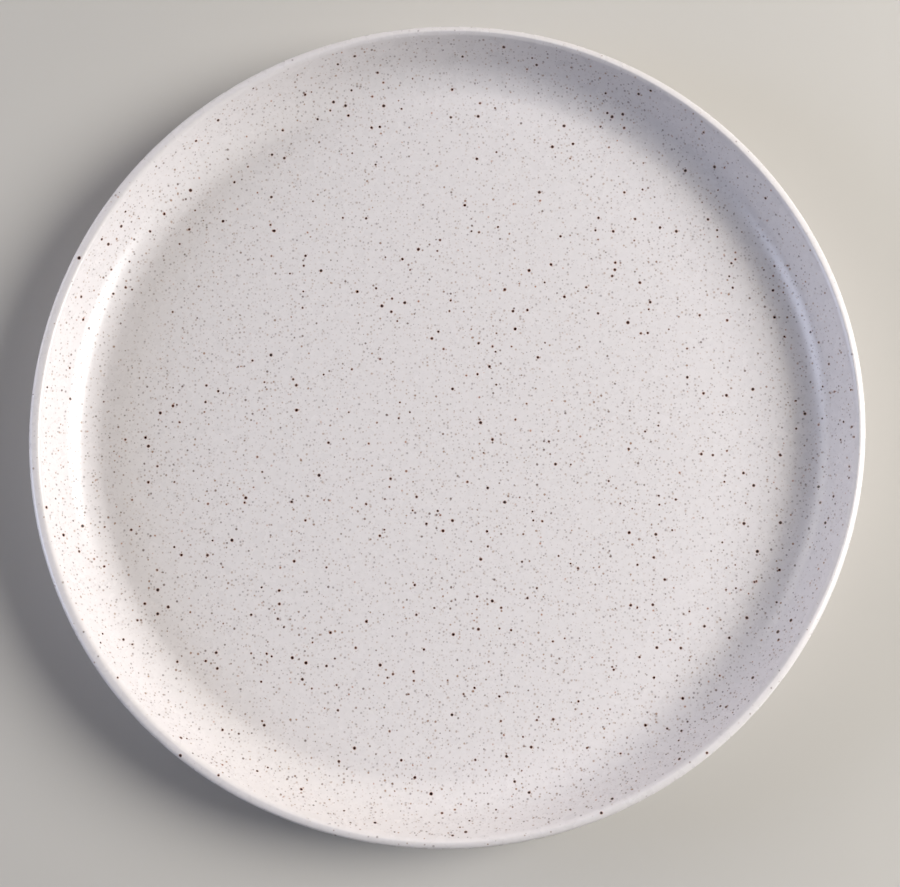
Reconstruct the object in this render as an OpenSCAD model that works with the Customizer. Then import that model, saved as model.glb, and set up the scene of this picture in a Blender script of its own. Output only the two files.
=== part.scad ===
// Coupe dinner plate in white speckled stoneware.
// One fired clay body stands on a bare foot ring, and three coats of glaze are fused to it.
// Millimetres, +Z up. The origin is the centre of the plane that the foot ring stands on.

/* [Plate] */
// Diameter over the lip
plate_d = 270; // [240:1:310]
// Height from the table to the top of the lip
plate_h = 24; // [20:0.5:34]

/* [Well and wall] */
// Thickness of the floor, glaze included
floor_t = 5.4; // [4:0.1:8]
// Thickness of the wall, glaze included
wall_t = 3.6; // [3.4:0.1:4.2]
// Slope of the wall under the lip, in degrees from level
wall_angle = 66; // [56:1:68]
// Radius of the inner wall's slight curve
wall_curve_r = 60; // [50:5:120]
// Radius of the curve from the well up into the wall
well_curve_r = 13.5; // [6:0.5:16]
// Radius of the curve from the underside up into the wall
heel_r = 18; // [10:1:26]

/* [Lip] */
// Radius of the shoulder that leads from the inner wall to the lip's inner edge
lip_shoulder_r = 2.4; // [2:0.1:2.8]
// Lean of the shoulder where it meets the inner edge, in degrees from level
lip_shoulder_lean = 30; // [26:1:36]
// Radius of the lip's inner edge
lip_in_r = 0.8; // [0.7:0.1:1.2]
// Radius of the lip's outer edge
lip_out_r = 1.3; // [1:0.1:1.5]
// Radius of the lip's domed crown
lip_crown_r = 3.4; // [3:0.1:4]
// Lean of the crown where it meets the outer edge, in degrees from level
lip_crown_lean = 25; // [20:1:30]

/* [Foot ring] */
// Diameter of the foot ring at the table
foot_d = 184; // [140:1:200]
// Width of the foot ring at the table
foot_w = 5; // [3:0.5:8]
// Height of the foot ring below the glazed underside
foot_h = 3.2; // [1.6:0.1:5]
// Lean of the foot ring's sides, in degrees from upright
foot_draft = 12; // [0:1:25]
// Radius of the foot ring's lower edges
foot_edge_r = 1; // [0.3:0.1:1.4]

/* [Glaze] */
// Thickness of the glaze
glaze_t = 0.4; // [0.2:0.05:0.6]

/* [Hidden] */

// Steps round the plate
$fn = 180;
// Most degrees that one step of a profile's arc turns
arc_step = 6;

// Directions of a profile's normals, in degrees: straight up, straight down and square to the wall
up = atan2(1, 0);
down = atan2(-1, 0);
off_inner_wall = up + wall_angle;
off_outer_wall = down + wall_angle;

plate_r = plate_d / 2;
floor_top = foot_h + floor_t;
clay_base = foot_h + glaze_t;

// Centre of the arc that carries on from another one, at the angle where the two meet
function carried_on(centre, r, next_r, angle) = centre + (r - next_r) * [cos(angle), sin(angle)];

// Lean of the crown where it meets the inner edge, so that the shoulder runs into the inner wall and leaves
// the wall its thickness: lip_in_far is how far the centres of the crown and of the inner edge stand apart,
// measured square to the wall, and lip_in_most keeps the inner edge from vanishing
lip_in_far = wall_t - lip_out_r - lip_shoulder_r
    + (lip_crown_r - lip_out_r) * cos(wall_angle + lip_crown_lean)
    + (lip_shoulder_r - lip_in_r) * cos(wall_angle - lip_shoulder_lean);
lip_in_most = cos(wall_angle - lip_shoulder_lean + arc_step);
lip_in_lean = asin(min(lip_in_most, lip_in_far / (lip_crown_r - lip_in_r))) - (up - wall_angle);

// Centres of the profile's arcs, as [radius, height]
lip_crown_c = [
    plate_r - lip_out_r - (lip_crown_r - lip_out_r) * sin(lip_crown_lean),
    plate_h - lip_crown_r
];
lip_out_c = carried_on(lip_crown_c, lip_crown_r, lip_out_r, up - lip_crown_lean);
lip_in_c = carried_on(lip_crown_c, lip_crown_r, lip_in_r, up + lip_in_lean);
lip_shoulder_c = carried_on(lip_in_c, lip_in_r, lip_shoulder_r, up + lip_shoulder_lean);
wall_c = lip_shoulder_c + (wall_curve_r + lip_shoulder_r) * [cos(off_inner_wall), sin(off_inner_wall)];
well_z = floor_top + well_curve_r;
// Slope at which the well's curve runs into the wall's
well_end = acos((wall_c.y - well_z) / (wall_curve_r - well_curve_r));
well_c = carried_on(wall_c, wall_curve_r, well_curve_r, down + well_end);
// The outside wall is straight: heel_across is how far its two arcs' centres stand apart, measured square to
// it, and heel_rise is how far the lower arc's centre stands above the upper one's
heel_z = foot_h + heel_r;
heel_across = heel_r - lip_out_r;
heel_rise = heel_z - lip_out_c.y;
heel_c = [lip_out_c.x - (heel_across - cos(wall_angle) * heel_rise) / sin(wall_angle), heel_z];

// Radius of the foot ring's two sides at a height above the table
foot_out_r = foot_d / 2;
foot_in_r = foot_out_r - foot_w;
function foot_out_at(z) = foot_out_r + z * tan(foot_draft);
function foot_in_at(z) = foot_in_r - z * tan(foot_draft);

// Level distance from the foot ring's corner at the table to the centre of its rounding
foot_edge_in = foot_edge_r * (1 - sin(foot_draft)) / cos(foot_draft);

function arc(centre, r, from, to) =
    let (steps = ceil(abs(to - from) / arc_step))
    [for (i = [0:steps])
        let (a = from + (to - from) * i / steps)
        centre + r * [cos(a), sin(a)]];

// An arc without its first point, which ends the arc before it
function past_start(points) = [for (i = [1:len(points) - 1]) points[i]];

function reversed(points) = [for (i = [len(points) - 1:-1:0]) points[i]];

// The well, the inner wall and the lip, at a depth under the glazed surface
function face_line(depth) = concat(
    [[0, floor_top - depth]],
    arc(well_c, well_curve_r + depth, down, down + well_end),
    past_start(arc(wall_c, wall_curve_r + depth, down + well_end, off_outer_wall)),
    past_start(arc(lip_shoulder_c, lip_shoulder_r - depth, off_inner_wall, up + lip_shoulder_lean)),
    past_start(arc(lip_in_c, lip_in_r - depth, up + lip_shoulder_lean, up + lip_in_lean)),
    past_start(arc(lip_crown_c, lip_crown_r - depth, up + lip_in_lean, up - lip_crown_lean)),
    past_start(arc(lip_out_c, lip_out_r - depth, up - lip_crown_lean, off_outer_wall))
);

// The outside wall and the underside in to the foot ring, at a depth under the glazed surface
function outer_line(depth) = concat(
    arc(heel_c, heel_r - depth, off_outer_wall, down),
    [[foot_out_at(foot_h + depth), foot_h + depth]]
);

// Where the glaze of the face ends and that of the outside starts, under the lip
function lip_end(depth) = lip_out_c + (lip_out_r - depth) * [cos(off_outer_wall), sin(off_outer_wall)];

// The bare foot ring, from its outer side round to its inner side
function foot_line() = concat(
    arc([foot_out_r - foot_edge_in, foot_edge_r], foot_edge_r, -foot_draft, down),
    arc([foot_in_r + foot_edge_in, foot_edge_r], foot_edge_r, down, foot_draft + 2 * down),
    [[foot_in_at(clay_base), clay_base]]
);

module turned(points) {
    rotate_extrude()
        polygon(points);
}

module stoneware_body() {
    color("burlywood")
        turned(concat(face_line(glaze_t), outer_line(glaze_t), foot_line(), [[0, clay_base]]));
}

module face_glaze() {
    color("whitesmoke")
        turned(concat(face_line(0), reversed(face_line(glaze_t))));
}

module outer_glaze() {
    color("white")
        turned(concat(
            [lip_end(0)],
            outer_line(0),
            reversed(outer_line(glaze_t)),
            [lip_end(glaze_t)]
        ));
}

module base_glaze() {
    color("ghostwhite")
        turned([
            [0, foot_h],
            [foot_in_at(foot_h), foot_h],
            [foot_in_at(clay_base), clay_base],
            [0, clay_base]
        ]);
}

stoneware_body();
face_glaze();
outer_glaze();
base_glaze();
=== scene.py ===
import math
from collections import namedtuple

import bmesh
import bpy
from mathutils import Matrix, Vector


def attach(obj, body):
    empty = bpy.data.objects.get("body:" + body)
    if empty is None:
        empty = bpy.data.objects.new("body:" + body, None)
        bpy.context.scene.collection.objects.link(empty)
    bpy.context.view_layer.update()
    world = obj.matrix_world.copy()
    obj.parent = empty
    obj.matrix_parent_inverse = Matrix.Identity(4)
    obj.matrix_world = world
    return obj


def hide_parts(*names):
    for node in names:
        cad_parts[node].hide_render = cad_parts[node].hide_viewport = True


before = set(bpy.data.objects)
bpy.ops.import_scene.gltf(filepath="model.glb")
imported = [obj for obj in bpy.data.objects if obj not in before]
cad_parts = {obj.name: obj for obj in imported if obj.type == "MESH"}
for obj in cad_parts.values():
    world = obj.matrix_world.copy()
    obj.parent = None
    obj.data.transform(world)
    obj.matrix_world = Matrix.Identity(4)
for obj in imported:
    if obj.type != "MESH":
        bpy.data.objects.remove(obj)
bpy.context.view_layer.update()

# Sizes of the plate in millimetres and degrees, the same as in the CAD source
MM = 0.001
PLATE_R = 135.0
PLATE_H = 24.0
FLOOR_T = 5.4
WALL_T = 3.6
WALL_ANGLE = 66.0
WALL_CURVE_R = 60.0
WELL_CURVE_R = 13.5
HEEL_R = 18.0
LIP_SHOULDER_R = 2.4
LIP_SHOULDER_LEAN = 30.0
LIP_IN_R = 0.8
LIP_OUT_R = 1.3
LIP_CROWN_R = 3.4
LIP_CROWN_LEAN = 25.0
FOOT_R = 92.0
FOOT_W = 5.0
FOOT_H = 3.2
FOOT_DRAFT = 12.0
FOOT_EDGE_R = 1.0
GLAZE_T = 0.4

# Directions of a profile's normals, in degrees
UP = 90.0
DOWN = -90.0
OFF_INNER_WALL = UP + WALL_ANGLE
OFF_OUTER_WALL = DOWN + WALL_ANGLE

# Fineness of the turned surfaces
STEPS_ROUND = 360
STEP_ACROSS = 2.0
WELL_STEPS = 28
WALL_STEPS = 10
SHOULDER_STEPS = 8
LIP_IN_STEPS = 8
LIP_CROWN_STEPS = 10
LIP_OUT_STEPS = 14
HEEL_STEPS = 24
FOOT_EDGE_STEPS = 8
SHARP_ANGLE = math.radians(40)
ON_AXIS = 1e-6

# The potter's hand: how far the lip runs out of round and out of level, and how much its width varies, as
# (lobes, millimetres, start)
OUT_OF_ROUND = ((2, 0.96, 0.89), (3, 0.05, 2.2), (4, 0.12, -0.7), (5, 0.12, 1.0))
OUT_OF_LEVEL = ((2, 0.05, 1.3), (3, 0.04, 3.2), (7, 0.02, 0.2))
LIP_WIDTH = ((1, 0.51, -1.86), (2, 0.23, 1.71), (4, 0.2, -1.57))
LIP_SPAN = 1.7

# How steeply that unevenness fades inwards and downwards, as powers
FADE_IN = 4
FADE_DOWN = 2
LIP_FADE_DOWN = 5

# A shallow dip that the potter's tool leaves round the well, in millimetres: its depth, the radii where it
# starts, is deepest and ends, and how far under the floor's top it still moves the plate
DIP_DEPTH = 0.28
DIP_START = 108.5
DIP_DEEPEST = 116.0
DIP_END = 124.0
DIP_REACH = 0.6

# The texture map: the shares that a piece's seen and hidden surfaces take, where their centres lie, and how
# far from its centre the hidden one starts, in millimetres
MAP_NAME = "OFBake"
SEEN_SHARE = 0.49
SEEN_CENTRE = 0.5
HIDDEN_SHARE = 0.03
HIDDEN_CENTRE = 0.045
HIDDEN_START = 1.0

# Looks of the glaze: its colour, the shades of its fine mottle and of the painted shade that makes it darker
# on the far side and lighter on the near one, its gloss, the share of light it mirrors, and its faint
# waviness, with grains in millimetres
GLAZE_COLOUR = (0.745, 0.705, 0.708)
MOTTLE = (0.90, 1.09)
MOTTLE_GRAIN = 1.6
MOTTLE_SHARE = 0.5
FAR_NEAR_PAINTED_SHADES = (0.945, 1.04)
PAINTED_SHADE_REACH = 110.0
SATIN = (0.25, 0.31)
SATIN_GRAIN = 8.0
GLAZE_IOR = 1.5
PEEL_GRAIN = 5.0
PEEL_DEPTH = 0.02
PEEL_STRENGTH = 0.25

# Looks of the bare clay: its colour and the shade of its clouds, its grit, the toasted edge beside the glaze
CLAY_COLOUR = (0.50, 0.39, 0.28)
CLAY_SHADE = 0.72
CLOUD_GRAIN = 14.0
GRIT_COLOUR = (0.13, 0.08, 0.05)
GRIT_GRAIN = 0.45
GRIT_FROM = 0.60
GRIT_TO = 0.72
GRIT_COVER = 0.55
GRIT_DEPTH = 0.12
GRIT_STRENGTH = 0.6
TOAST_COLOUR = (0.36, 0.19, 0.09)
TOAST_START = 0.4
TOAST_COVER = 0.7
CLAY_ROUGHNESS = 0.85

# Looks of the floor
FLOOR_COLOUR = (0.555, 0.53, 0.495)
FLOOR_SHADE = 0.97
FLOOR_GRAIN = 90.0
FLOOR_ROUGHNESS = 0.75
FLOOR_HALF = 1.3

# Share of each finer octave in a cloud texture, its middle colour, and the part of its range that is used
NOISE_ROUGHNESS = 0.55
NOISE_MIDDLE = (0.5, 0.5, 0.5)
CLOUDS_LOW = 0.3
CLOUDS_HIGH = 0.7

# Places of the colours among a Mix node's sockets
MIX_A = 6
MIX_B = 7
MIX_RESULT = 2

# The camera's place and aim in metres, found from the rim's outline in the photograph
CAMERA_AT = (0.01498, -0.04639, 0.41952)
CAMERA_AIM = (0.0024, -0.0062, 0.0223)
CAMERA_LENS = 49.287

# Lamps: bearing and height in degrees, distance in metres, half width as seen from the plate in degrees, the
# irradiance over pi that a surface facing it gets, colour, and whether it lights surfaces and shows in gloss
Lamp = namedtuple("Lamp", "name turn height distance spread level colour shines glints")
KEY_COLOUR = (1.0, 0.995, 0.978)
LAMPS = (
    Lamp("key_softbox", 8.5, 34.4, 1.45, 16.0, 1.46, KEY_COLOUR, True, False),
    Lamp("key_glint", -2.0, 33.7, 1.45, 16.0, 1.46, KEY_COLOUR, False, True),
    Lamp("fill_panel", 157.0, 16.0, 1.5, 16.0, 0.305, (1.0, 0.96, 0.89), True, True),
    Lamp("fill_window", 177.0, 19.0, 1.5, 12.5, 0.40, (0.60, 0.71, 1.0), True, False),
    Lamp("window_glint", 190.0, 30.0, 1.5, 12.5, 0.38, (0.74, 0.80, 1.0), False, True),
)

# The surroundings: the dim light from the far side, what gloss mirrors, and what the camera sees
SKY_COLOUR = (0.30, 0.24, 0.155)
MIRRORED_COLOUR = (0.16, 0.19, 0.25)
BACKDROP_COLOUR = (0.66, 0.64, 0.60)


# Profiles, as lists of [radius, height] in millimetres


def cos_d(angle):
    return math.cos(math.radians(angle))


def sin_d(angle):
    return math.sin(math.radians(angle))


def carried_on(centre, radius, next_radius, angle):
    """The centre of the arc that carries on from another one at an angle."""
    step = radius - next_radius
    return (centre[0] + step * cos_d(angle), centre[1] + step * sin_d(angle))


# Centres of the four arcs of the lip. The crown leans in until the inner edge and the shoulder, which
# follow it, run into the inner wall.
LIP_CROWN_C = (
    PLATE_R - LIP_OUT_R - (LIP_CROWN_R - LIP_OUT_R) * sin_d(LIP_CROWN_LEAN),
    PLATE_H - LIP_CROWN_R,
)
LIP_CROWN_END = UP - LIP_CROWN_LEAN
LIP_OUT_C = carried_on(LIP_CROWN_C, LIP_CROWN_R, LIP_OUT_R, LIP_CROWN_END)
LIP_IN_FAR = (
    WALL_T - LIP_OUT_R - LIP_SHOULDER_R
    + (LIP_CROWN_R - LIP_OUT_R) * cos_d(WALL_ANGLE + LIP_CROWN_LEAN)
    + (LIP_SHOULDER_R - LIP_IN_R) * cos_d(WALL_ANGLE - LIP_SHOULDER_LEAN)
)
LIP_IN_LEAN = math.degrees(math.asin(LIP_IN_FAR / (LIP_CROWN_R - LIP_IN_R))) - (UP - WALL_ANGLE)
LIP_IN_END = UP + LIP_IN_LEAN
LIP_IN_C = carried_on(LIP_CROWN_C, LIP_CROWN_R, LIP_IN_R, LIP_IN_END)
LIP_SHOULDER_END = UP + LIP_SHOULDER_LEAN
LIP_SHOULDER_C = carried_on(LIP_IN_C, LIP_IN_R, LIP_SHOULDER_R, LIP_SHOULDER_END)
FLOOR_TOP = FOOT_H + FLOOR_T
WELL_Z = FLOOR_TOP + WELL_CURVE_R
WALL_C = (
    LIP_SHOULDER_C[0] + (WALL_CURVE_R + LIP_SHOULDER_R) * cos_d(OFF_INNER_WALL),
    LIP_SHOULDER_C[1] + (WALL_CURVE_R + LIP_SHOULDER_R) * sin_d(OFF_INNER_WALL),
)
WELL_END = math.degrees(math.acos((WALL_C[1] - WELL_Z) / (WALL_CURVE_R - WELL_CURVE_R)))
WELL_C = carried_on(WALL_C, WALL_CURVE_R, WELL_CURVE_R, DOWN + WELL_END)
HEEL_Z = FOOT_H + HEEL_R
HEEL_ACROSS = HEEL_R - LIP_OUT_R
HEEL_RISE = HEEL_Z - LIP_OUT_C[1]
HEEL_C = (LIP_OUT_C[0] - (HEEL_ACROSS - cos_d(WALL_ANGLE) * HEEL_RISE) / sin_d(WALL_ANGLE), HEEL_Z)
CLAY_BASE = FOOT_H + GLAZE_T
FOOT_LEAN = math.tan(math.radians(FOOT_DRAFT))
FOOT_IN_R = FOOT_R - FOOT_W
FOOT_EDGE_IN = FOOT_EDGE_R * (1 - sin_d(FOOT_DRAFT)) / cos_d(FOOT_DRAFT)


def foot_out_at(z):
    return FOOT_R + z * FOOT_LEAN


def foot_in_at(z):
    return FOOT_IN_R - z * FOOT_LEAN


def arc(centre, radius, start, end, steps):
    points = []
    for i in range(steps + 1):
        a = start + (end - start) * i / steps
        points.append((centre[0] + radius * cos_d(a), centre[1] + radius * sin_d(a)))
    return points


def level(z, r_from, r_to):
    """Points along a level line, without its last one."""
    steps = max(1, math.ceil(abs(r_to - r_from) / STEP_ACROSS))
    return [(r_from + (r_to - r_from) * i / steps, z) for i in range(steps)]


def face_line(depth):
    """The well, the inner wall and the lip, from the centre outwards."""
    return (
        level(FLOOR_TOP - depth, 0.0, WELL_C[0])
        + arc(WELL_C, WELL_CURVE_R + depth, DOWN, DOWN + WELL_END, WELL_STEPS)
        + arc(WALL_C, WALL_CURVE_R + depth, DOWN + WELL_END, OFF_OUTER_WALL, WALL_STEPS)[1:]
        + arc(LIP_SHOULDER_C, LIP_SHOULDER_R - depth, OFF_INNER_WALL, LIP_SHOULDER_END, SHOULDER_STEPS)[1:]
        + arc(LIP_IN_C, LIP_IN_R - depth, LIP_SHOULDER_END, LIP_IN_END, LIP_IN_STEPS)[1:]
        + arc(LIP_CROWN_C, LIP_CROWN_R - depth, LIP_IN_END, LIP_CROWN_END, LIP_CROWN_STEPS)[1:]
        + arc(LIP_OUT_C, LIP_OUT_R - depth, LIP_CROWN_END, OFF_OUTER_WALL, LIP_OUT_STEPS)[1:]
    )


def outer_line(depth):
    """The underside and the outside wall, from the foot ring outwards to under the lip."""
    z = FOOT_H + depth
    lip_end = (
        LIP_OUT_C[0] + (LIP_OUT_R - depth) * cos_d(OFF_OUTER_WALL),
        LIP_OUT_C[1] + (LIP_OUT_R - depth) * sin_d(OFF_OUTER_WALL),
    )
    return (
        level(z, foot_out_at(z), HEEL_C[0])
        + arc(HEEL_C, HEEL_R - depth, DOWN, OFF_OUTER_WALL, HEEL_STEPS)
        + [lip_end]
    )


def foot_line():
    """The bare foot ring, from its inner side round to its outer side."""
    inner_c = (FOOT_IN_R + FOOT_EDGE_IN, FOOT_EDGE_R)
    outer_c = (FOOT_R - FOOT_EDGE_IN, FOOT_EDGE_R)
    inner = arc(inner_c, FOOT_EDGE_R, 2 * DOWN + FOOT_DRAFT, DOWN, FOOT_EDGE_STEPS)
    outer = arc(outer_c, FOOT_EDGE_R, DOWN, -FOOT_DRAFT, FOOT_EDGE_STEPS)
    return [(foot_in_at(CLAY_BASE), CLAY_BASE)] + inner + outer


def base_line(z):
    """The recessed base inside the foot ring, from the centre outwards."""
    edge = foot_in_at(z)
    return level(z, 0.0, edge) + [(edge, z)]


# Turned meshes


def waves(turn, lobes):
    """A sum of waves round the plate."""
    return sum(size * math.sin(n * turn + start) for n, size, start in lobes)


def lip_share(r, z):
    """How much a point moves with the lip's inner edge: least at the outer edge and low on the wall."""
    inside = min(1.0, max(0.0, (LIP_OUT_C[0] - r) / LIP_SPAN))
    return inside * (z / PLATE_H) ** LIP_FADE_DOWN


def smooth_step(value, low, high):
    share = min(1.0, max(0.0, (value - low) / (high - low)))
    return share * share * (3.0 - 2.0 * share)


def dip(r, z):
    """How far a point of the face sinks in the shallow dip round the well."""
    if z < FLOOR_TOP - DIP_REACH:
        return 0.0
    sinks = smooth_step(r, DIP_START, DIP_DEEPEST)
    rises = smooth_step(r, DIP_DEEPEST, DIP_END)
    return DIP_DEPTH * sinks * (1.0 - rises)


def by_hand(r, z, turn):
    """A point of the profile at one turn round the plate, moved by the potter's unevenness, in metres."""
    far = (r / PLATE_R) ** FADE_IN
    high = (z / PLATE_H) ** FADE_DOWN
    shift = far * waves(turn, OUT_OF_ROUND) - lip_share(r, z) * waves(turn, LIP_WIDTH)
    z = z + far * high * waves(turn, OUT_OF_LEVEL) - dip(r, z)
    r = r + shift
    return Vector((r * math.cos(turn), r * math.sin(turn), z)) * MM


def run_lengths(points, start):
    """Distance along the profile to each of its points."""
    lengths = [start]
    for a, b in zip(points, points[1:]):
        lengths.append(lengths[-1] + math.dist(a, b))
    return lengths


def round_ring(bm, r, z):
    """One ring of vertices, or a single one on the axis."""
    if r < ON_AXIS:
        return [bm.verts.new(by_hand(0.0, z, 0.0))]
    return [bm.verts.new(by_hand(r, z, 2 * math.pi * i / STEPS_ROUND)) for i in range(STEPS_ROUND)]


def strip(bm, low, high):
    """The faces between two rings, either of which may be a single vertex on the axis."""
    faces = []
    for i in range(STEPS_ROUND):
        j = (i + 1) % STEPS_ROUND
        if len(low) == 1:
            corners = [low[0], high[j], high[i]]
        elif len(high) == 1:
            corners = [low[i], low[j], high[0]]
        else:
            corners = [low[i], low[j], high[j], high[i]]
        faces.append(bm.faces.new(corners))
    return faces


def lay_flat(face, layer, spread, centre):
    """Sets a face's place on the texture map: straight out from the centre, as far as its profile runs."""
    for loop in face.loops:
        across = loop.vert.co.xy
        out = across.normalized() if across.length > ON_AXIS * MM else Vector((0.0, 0.0))
        loop[layer].uv = Vector((centre, centre)) + out * spread[loop.vert]


def turned(name, seen, hidden, map_start):
    """A closed turned piece. Its seen profile runs outwards, and its hidden one back to where it began."""
    bm = bmesh.new()
    layer = bm.loops.layers.uv.new(MAP_NAME)
    profile = seen + hidden
    rings = [round_ring(bm, r, z) for r, z in profile]
    seen_runs = run_lengths(seen, map_start)
    hidden_runs = run_lengths([seen[-1]] + hidden + [seen[0]], HIDDEN_START)
    seen_spread = {}
    hidden_spread = {}
    for ring, run in zip(rings, seen_runs):
        seen_spread.update({v: SEEN_SHARE * run / max(seen_runs) for v in ring})
    for ring, run in zip(rings[len(seen) - 1:] + rings[:1], hidden_runs):
        hidden_spread.update({v: HIDDEN_SHARE * run / max(hidden_runs) for v in ring})
    for i, ring in enumerate(rings):
        following = rings[(i + 1) % len(rings)]
        if len(ring) == 1 and len(following) == 1:
            continue
        is_seen = i < len(seen) - 1
        for face in strip(bm, ring, following):
            face.smooth = True
            if is_seen:
                lay_flat(face, layer, seen_spread, SEEN_CENTRE)
            else:
                lay_flat(face, layer, hidden_spread, HIDDEN_CENTRE)
    bmesh.ops.recalc_face_normals(bm, faces=bm.faces)
    mesh = bpy.data.meshes.new(name)
    bm.to_mesh(mesh)
    bm.free()
    mesh.set_sharp_from_angle(angle=SHARP_ANGLE)
    piece = bpy.data.objects.new(name, mesh)
    bpy.context.scene.collection.objects.link(piece)
    return piece


# Materials


def new_material(name):
    material = bpy.data.materials.new(name)
    material.use_nodes = True
    return material, material.node_tree


def add(tree, kind, **sockets):
    """A node with its inputs set by name, underscores for spaces, or linked where a socket is given."""
    node = tree.nodes.new(kind)
    for key, value in sockets.items():
        put(tree, node.inputs[key.replace("_", " ")], value)
    return node


def put(tree, socket, value):
    if isinstance(value, bpy.types.NodeSocket):
        tree.links.new(value, socket)
    elif isinstance(value, tuple) and len(value) == 3 and socket.type == "RGBA":
        socket.default_value = (*value, 1.0)
    else:
        socket.default_value = value


def ramp(tree, value, low, high, to_low, to_high, smooth=False):
    """A value's range mapped onto another, held at its ends."""
    node = tree.nodes.new("ShaderNodeMapRange")
    node.interpolation_type = "SMOOTHSTEP" if smooth else "LINEAR"
    put(tree, node.inputs["Value"], value)
    put(tree, node.inputs["From Min"], low)
    put(tree, node.inputs["From Max"], high)
    put(tree, node.inputs["To Min"], to_low)
    put(tree, node.inputs["To Max"], to_high)
    return node.outputs["Result"]


def math_node(tree, operation, a, b):
    node = tree.nodes.new("ShaderNodeMath")
    node.operation = operation
    put(tree, node.inputs[0], a)
    put(tree, node.inputs[1], b)
    return node.outputs["Value"]


def mix_colour(tree, factor, a, b):
    node = tree.nodes.new("ShaderNodeMix")
    node.data_type = "RGBA"
    put(tree, node.inputs["Factor"], factor)
    put(tree, node.inputs[MIX_A], a)
    put(tree, node.inputs[MIX_B], b)
    return node.outputs[MIX_RESULT]


def noise(tree, coords, grain, detail):
    """A cloud texture whose patches are about grain millimetres wide."""
    node = add(tree, "ShaderNodeTexNoise", Vector=coords, Scale=1 / (grain * MM), Detail=detail)
    node.inputs["Roughness"].default_value = NOISE_ROUGHNESS
    return node.outputs


def plate_coords(tree):
    return tree.nodes.new("ShaderNodeTexCoord").outputs["Object"]


def split(tree, coords):
    """The X, Y and Z of the coordinates."""
    node = tree.nodes.new("ShaderNodeSeparateXYZ")
    put(tree, node.inputs["Vector"], coords)
    return node.outputs


def ragged(tree, coords, grain, amount):
    """Coordinates shaken by amount millimetres, so that round specks become uneven ones."""
    cloud = noise(tree, coords, grain, 2.0)
    centred = tree.nodes.new("ShaderNodeVectorMath")
    centred.operation = "SUBTRACT"
    put(tree, centred.inputs[0], cloud["Color"])
    centred.inputs[1].default_value = NOISE_MIDDLE
    scaled = tree.nodes.new("ShaderNodeVectorMath")
    scaled.operation = "SCALE"
    put(tree, scaled.inputs[0], centred.outputs["Vector"])
    scaled.inputs["Scale"].default_value = amount * MM
    total = tree.nodes.new("ShaderNodeVectorMath")
    total.operation = "ADD"
    put(tree, total.inputs[0], coords)
    put(tree, total.inputs[1], scaled.outputs["Vector"])
    return total.outputs["Vector"]


# Kinds of speck, sizes in millimetres: the spacing of the cells that hold one each, the least and greatest
# radius, the softness of the edge as a share of the radius, how strongly the faintest and the strongest
# cover, and the two end colours
Speck = namedtuple("Speck", "cell small large edge faintest strongest colours")
FAINT = Speck(1.12, 0.15, 0.34, 0.7, 0.12, 0.60, ((0.42, 0.36, 0.36), (0.49, 0.38, 0.32)))
FINE = Speck(1.36, 0.14, 0.38, 0.5, 0.50, 1.0, ((0.27, 0.22, 0.22), (0.39, 0.26, 0.19)))
BROWN = Speck(2.4, 0.17, 0.41, 0.4, 0.65, 1.0, ((0.10, 0.05, 0.035), (0.28, 0.14, 0.07)))
IRON = Speck(4.15, 0.29, 0.51, 0.12, 0.98, 1.0, ((0.006, 0.001, 0.0005), (0.024, 0.005, 0.002)))
HALO_REACH = 1.5
HALO_COVER = 0.85
HALO_COLOUR = (0.40, 0.12, 0.025)
HALO_START = 0.9
RUST_LOW = 0.3
RUST_HIGH = 0.9
NO_SPECK = 1e-4

# Where specks lie, in millimetres: the grain and least share of the patches, the heights between which specks
# grow few on the lip and the share left there, and how the coarse ones thin out from the near side to the far
PATCH_GRAIN = 40.0
PATCH_LEAST = 0.75
LIP_FEW_FROM = 21.0
LIP_FEW_TO = 23.4
LIP_FEW_SHARE = 0.12
COARSE_NEAR = -90.0
COARSE_FAR = 100.0
COARSE_FAR_SHARE = 0.28

# Grain and reach of the unevenness of a speck's edge, in millimetres
RAGGED_GRAIN = 0.5
RAGGED_REACH = 0.22


def specks(tree, coords, kind, crowding):
    """The cover and colour of one kind of speck, and its distance as a share of its radius. Crowding is the
    share of the cells that hold a speck."""
    cells = add(tree, "ShaderNodeTexVoronoi", Vector=coords, Scale=1 / (kind.cell * MM))
    chance = tree.nodes.new("ShaderNodeSeparateColor")
    put(tree, chance.inputs["Color"], cells.outputs["Color"])
    empty = math_node(tree, "SUBTRACT", 1.0, crowding)
    radius = ramp(tree, chance.outputs["Red"], empty, 1.0, kind.small / kind.cell, kind.large / kind.cell)
    held = math_node(tree, "GREATER_THAN", chance.outputs["Red"], empty)
    radius = math_node(tree, "MULTIPLY", radius, held)
    radius = math_node(tree, "MAXIMUM", radius, NO_SPECK)
    share = math_node(tree, "DIVIDE", cells.outputs["Distance"], radius)
    strength = ramp(tree, chance.outputs["Blue"], 0.0, 1.0, kind.faintest, kind.strongest)
    cover = ramp(tree, share, 1.0 - kind.edge, 1.0 + kind.edge, strength, 0.0, smooth=True)
    rust = ramp(tree, chance.outputs["Green"], RUST_LOW, RUST_HIGH, 0.0, 1.0)
    colour = mix_colour(tree, rust, *kind.colours)
    return cover, colour, share


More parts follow.
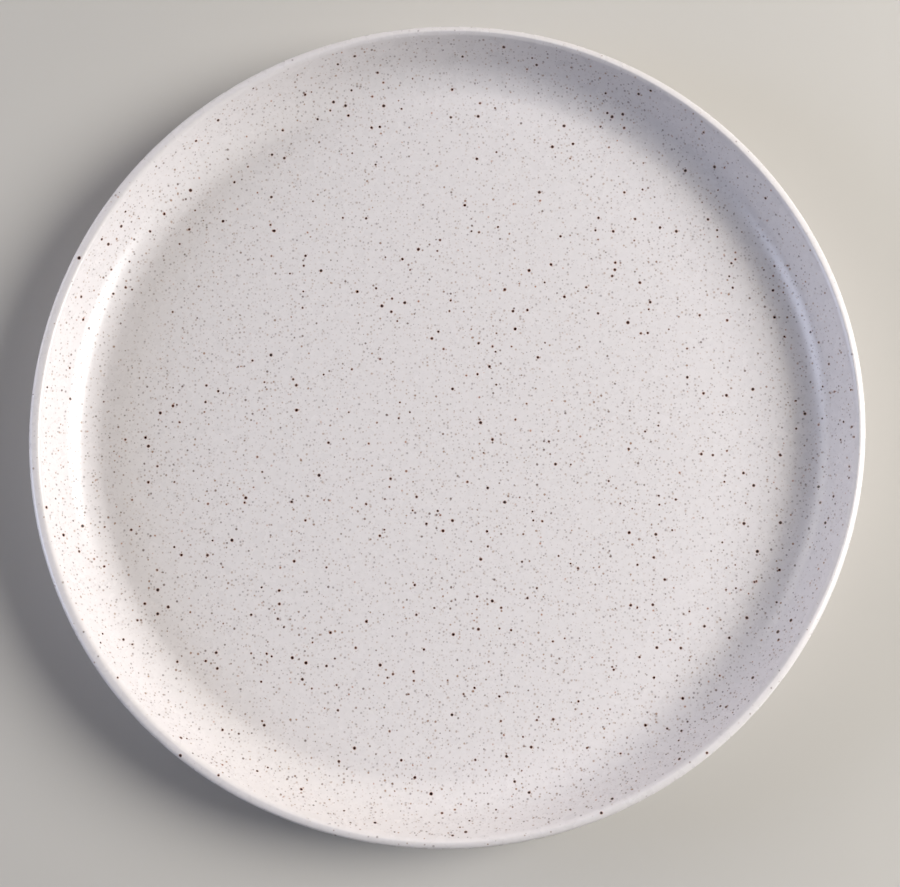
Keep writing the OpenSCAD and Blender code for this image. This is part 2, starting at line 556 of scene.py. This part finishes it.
def crowdings(tree, coords):
    """How crowded the fine specks and the coarse ones are: patchy, few on the lip, and the coarse ones
    thicker to one side."""
    patches = noise(tree, coords, PATCH_GRAIN, 1.0)["Fac"]
    parts = split(tree, coords)
    below_lip = ramp(tree, parts["Z"], LIP_FEW_FROM * MM, LIP_FEW_TO * MM, 1.0, LIP_FEW_SHARE)
    patchy = ramp(tree, patches, CLOUDS_LOW, CLOUDS_HIGH, PATCH_LEAST, 1.0)
    fine = math_node(tree, "MULTIPLY", patchy, below_lip)
    side = ramp(tree, parts["Y"], COARSE_NEAR * MM, COARSE_FAR * MM, 1.0, COARSE_FAR_SHARE)
    coarse = math_node(tree, "MULTIPLY", side, fine)
    return fine, coarse


def shaded(colour, shade):
    return tuple(c * shade for c in colour)


def bare_glaze(tree, coords):
    """The colour of the glaze without its specks, with a painted shade: darker on the far side, lighter on
    the near.
    """
    # Painted shade: the glaze is drawn darker towards the far side and lighter towards the near one, as light
    # falls
    painted_shade_ramp = ramp(tree, split(tree, coords)["Y"], -PAINTED_SHADE_REACH * MM, PAINTED_SHADE_REACH * MM, 1.0, 0.0)
    far, near = (shaded(GLAZE_COLOUR, shade) for shade in FAR_NEAR_PAINTED_SHADES)
    thin, thick = (shaded(GLAZE_COLOUR, shade) for shade in MOTTLE)
    mottle = noise(tree, coords, MOTTLE_GRAIN, 1.0)["Fac"]
    painted_shade_colour = mix_colour(tree, painted_shade_ramp, far, near)
    mottled = mix_colour(tree, mottle, thin, thick)
    return mix_colour(tree, MOTTLE_SHARE, painted_shade_colour, mottled)


def speckled(tree, coords, colour):
    """A colour with all kinds of speck laid over it."""
    uneven = ragged(tree, coords, RAGGED_GRAIN, RAGGED_REACH)
    fine, coarse = crowdings(tree, coords)
    for kind, crowding in ((FAINT, fine), (FINE, fine), (BROWN, coarse)):
        cover, speck_colour, _ = specks(tree, uneven, kind, crowding)
        colour = mix_colour(tree, cover, colour, speck_colour)
    cover, speck_colour, share = specks(tree, uneven, IRON, fine)
    halo = ramp(tree, share, HALO_START, HALO_REACH, HALO_COVER, 0.0, smooth=True)
    colour = mix_colour(tree, halo, colour, HALO_COLOUR)
    return mix_colour(tree, cover, colour, speck_colour)


def glaze_material():
    material, tree = new_material("speckled_glaze_look")
    coords = plate_coords(tree)
    colour = speckled(tree, coords, bare_glaze(tree, coords))
    clouds = noise(tree, coords, SATIN_GRAIN, 3.0)["Fac"]
    satin = ramp(tree, clouds, CLOUDS_LOW, CLOUDS_HIGH, *SATIN)
    peel = noise(tree, coords, PEEL_GRAIN, 2.0)["Fac"]
    bump = add(tree, "ShaderNodeBump", Strength=PEEL_STRENGTH, Distance=PEEL_DEPTH * MM, Height=peel)
    shader = tree.nodes["Principled BSDF"]
    put(tree, shader.inputs["Base Color"], colour)
    put(tree, shader.inputs["Roughness"], satin)
    put(tree, shader.inputs["Normal"], bump.outputs["Normal"])
    shader.inputs["IOR"].default_value = GLAZE_IOR
    return material


def clay_material():
    material, tree = new_material("bare_clay_look")
    coords = plate_coords(tree)
    clouds = noise(tree, coords, CLOUD_GRAIN, 4.0)["Fac"]
    grain = noise(tree, coords, GRIT_GRAIN, 3.0)["Fac"]
    colour = mix_colour(tree, clouds, shaded(CLAY_COLOUR, CLAY_SHADE), CLAY_COLOUR)
    grit = ramp(tree, grain, GRIT_FROM, GRIT_TO, 0.0, GRIT_COVER)
    colour = mix_colour(tree, grit, colour, GRIT_COLOUR)
    height = split(tree, coords)["Z"]
    toast = ramp(tree, height, TOAST_START * FOOT_H * MM, FOOT_H * MM, 0.0, TOAST_COVER, smooth=True)
    colour = mix_colour(tree, toast, colour, TOAST_COLOUR)
    bump = add(tree, "ShaderNodeBump", Strength=GRIT_STRENGTH, Distance=GRIT_DEPTH * MM, Height=grain)
    shader = tree.nodes["Principled BSDF"]
    put(tree, shader.inputs["Base Color"], colour)
    put(tree, shader.inputs["Normal"], bump.outputs["Normal"])
    shader.inputs["Roughness"].default_value = CLAY_ROUGHNESS
    return material


def floor_material():
    material, tree = new_material("pale_board")
    coords = plate_coords(tree)
    clouds = noise(tree, coords, FLOOR_GRAIN, 3.0)["Fac"]
    colour = mix_colour(tree, clouds, shaded(FLOOR_COLOUR, FLOOR_SHADE), FLOOR_COLOUR)
    shader = tree.nodes["Principled BSDF"]
    put(tree, shader.inputs["Base Color"], colour)
    shader.inputs["Roughness"].default_value = FLOOR_ROUGHNESS
    return material


# The plate


def finish_piece(piece, node, material):
    piece.data.materials.append(material)
    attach(piece, "root")
    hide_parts(node)


def backwards(points):
    return points[::-1]


def build_plate():
    glaze = glaze_material()
    clay = clay_material()
    face = turned("face_coat", face_line(0), backwards(face_line(GLAZE_T)), 0.0)
    finish_piece(face, "face_glaze", glaze)
    outer = turned("outer_coat", outer_line(0), backwards(outer_line(GLAZE_T)), FOOT_R)
    finish_piece(outer, "outer_glaze", glaze)
    base = turned("base_coat", base_line(FOOT_H), backwards(base_line(CLAY_BASE)), 0.0)
    finish_piece(base, "base_glaze", glaze)
    under_glaze = outer_line(GLAZE_T) + backwards(face_line(GLAZE_T)) + base_line(CLAY_BASE)[:-1]
    body = turned("clay_body", foot_line(), under_glaze, FOOT_IN_R)
    finish_piece(body, "stoneware_body", clay)


# The studio


def build_floor():
    mesh = bpy.data.meshes.new("floor")
    signs = ((-1, -1), (1, -1), (1, 1), (-1, 1))
    corners = [(x * FLOOR_HALF, y * FLOOR_HALF, 0.0) for x, y in signs]
    mesh.from_pydata(corners, [], [(0, 1, 2, 3)])
    floor = bpy.data.objects.new("floor", mesh)
    floor.data.materials.append(floor_material())
    bpy.context.scene.collection.objects.link(floor)


def soft_lamp(lamp):
    """A round softbox aimed at the plate."""
    light = bpy.data.lights.new(lamp.name, "AREA")
    light.shape = "DISK"
    light.size = 2 * lamp.distance * math.tan(math.radians(lamp.spread))
    light.energy = lamp.level * math.pi ** 2 * lamp.distance ** 2
    light.color = lamp.colour
    holder = bpy.data.objects.new(lamp.name, light)
    holder.visible_diffuse = lamp.shines
    holder.visible_glossy = lamp.glints
    along = cos_d(lamp.height)
    out = Vector((along * cos_d(lamp.turn), along * sin_d(lamp.turn), sin_d(lamp.height)))
    holder.location = out * lamp.distance
    holder.rotation_euler = out.to_track_quat("Z", "Y").to_euler()
    bpy.context.scene.collection.objects.link(holder)


def build_world():
    """Dim soft light that comes from the far side only, and a pale backdrop for the camera."""
    world = bpy.data.worlds.new("studio")
    bpy.context.scene.world = world
    world.use_nodes = True
    tree = world.node_tree
    background = tree.nodes["Background"]
    direction = tree.nodes.new("ShaderNodeTexCoord").outputs["Generated"]
    far_side = ramp(tree, split(tree, direction)["Y"], 0.0, 1.0, 0.0, 1.0)
    sky = mix_colour(tree, far_side, (0.0, 0.0, 0.0), SKY_COLOUR)
    path = tree.nodes.new("ShaderNodeLightPath")
    mirrored = mix_colour(tree, path.outputs["Is Glossy Ray"], sky, MIRRORED_COLOUR)
    shown = mix_colour(tree, path.outputs["Is Camera Ray"], mirrored, BACKDROP_COLOUR)
    put(tree, background.inputs["Color"], shown)
    background.inputs["Strength"].default_value = 1.0


def build_camera():
    camera = bpy.data.cameras.new("camera")
    camera.lens = CAMERA_LENS
    holder = bpy.data.objects.new("camera", camera)
    forward = (Vector(CAMERA_AIM) - Vector(CAMERA_AT)).normalized()
    right = forward.cross(Vector((0, 1, 0))).normalized()
    up = right.cross(forward)
    turn = Matrix((right, up, -forward)).transposed().to_4x4()
    holder.matrix_world = Matrix.Translation(CAMERA_AT) @ turn
    bpy.context.scene.collection.objects.link(holder)
    bpy.context.scene.camera = holder


def build_studio():
    build_floor()
    for lamp in LAMPS:
        soft_lamp(lamp)
    build_world()
    build_camera()
    bpy.context.scene.view_settings.view_transform = "Standard"


build_plate()
build_studio()
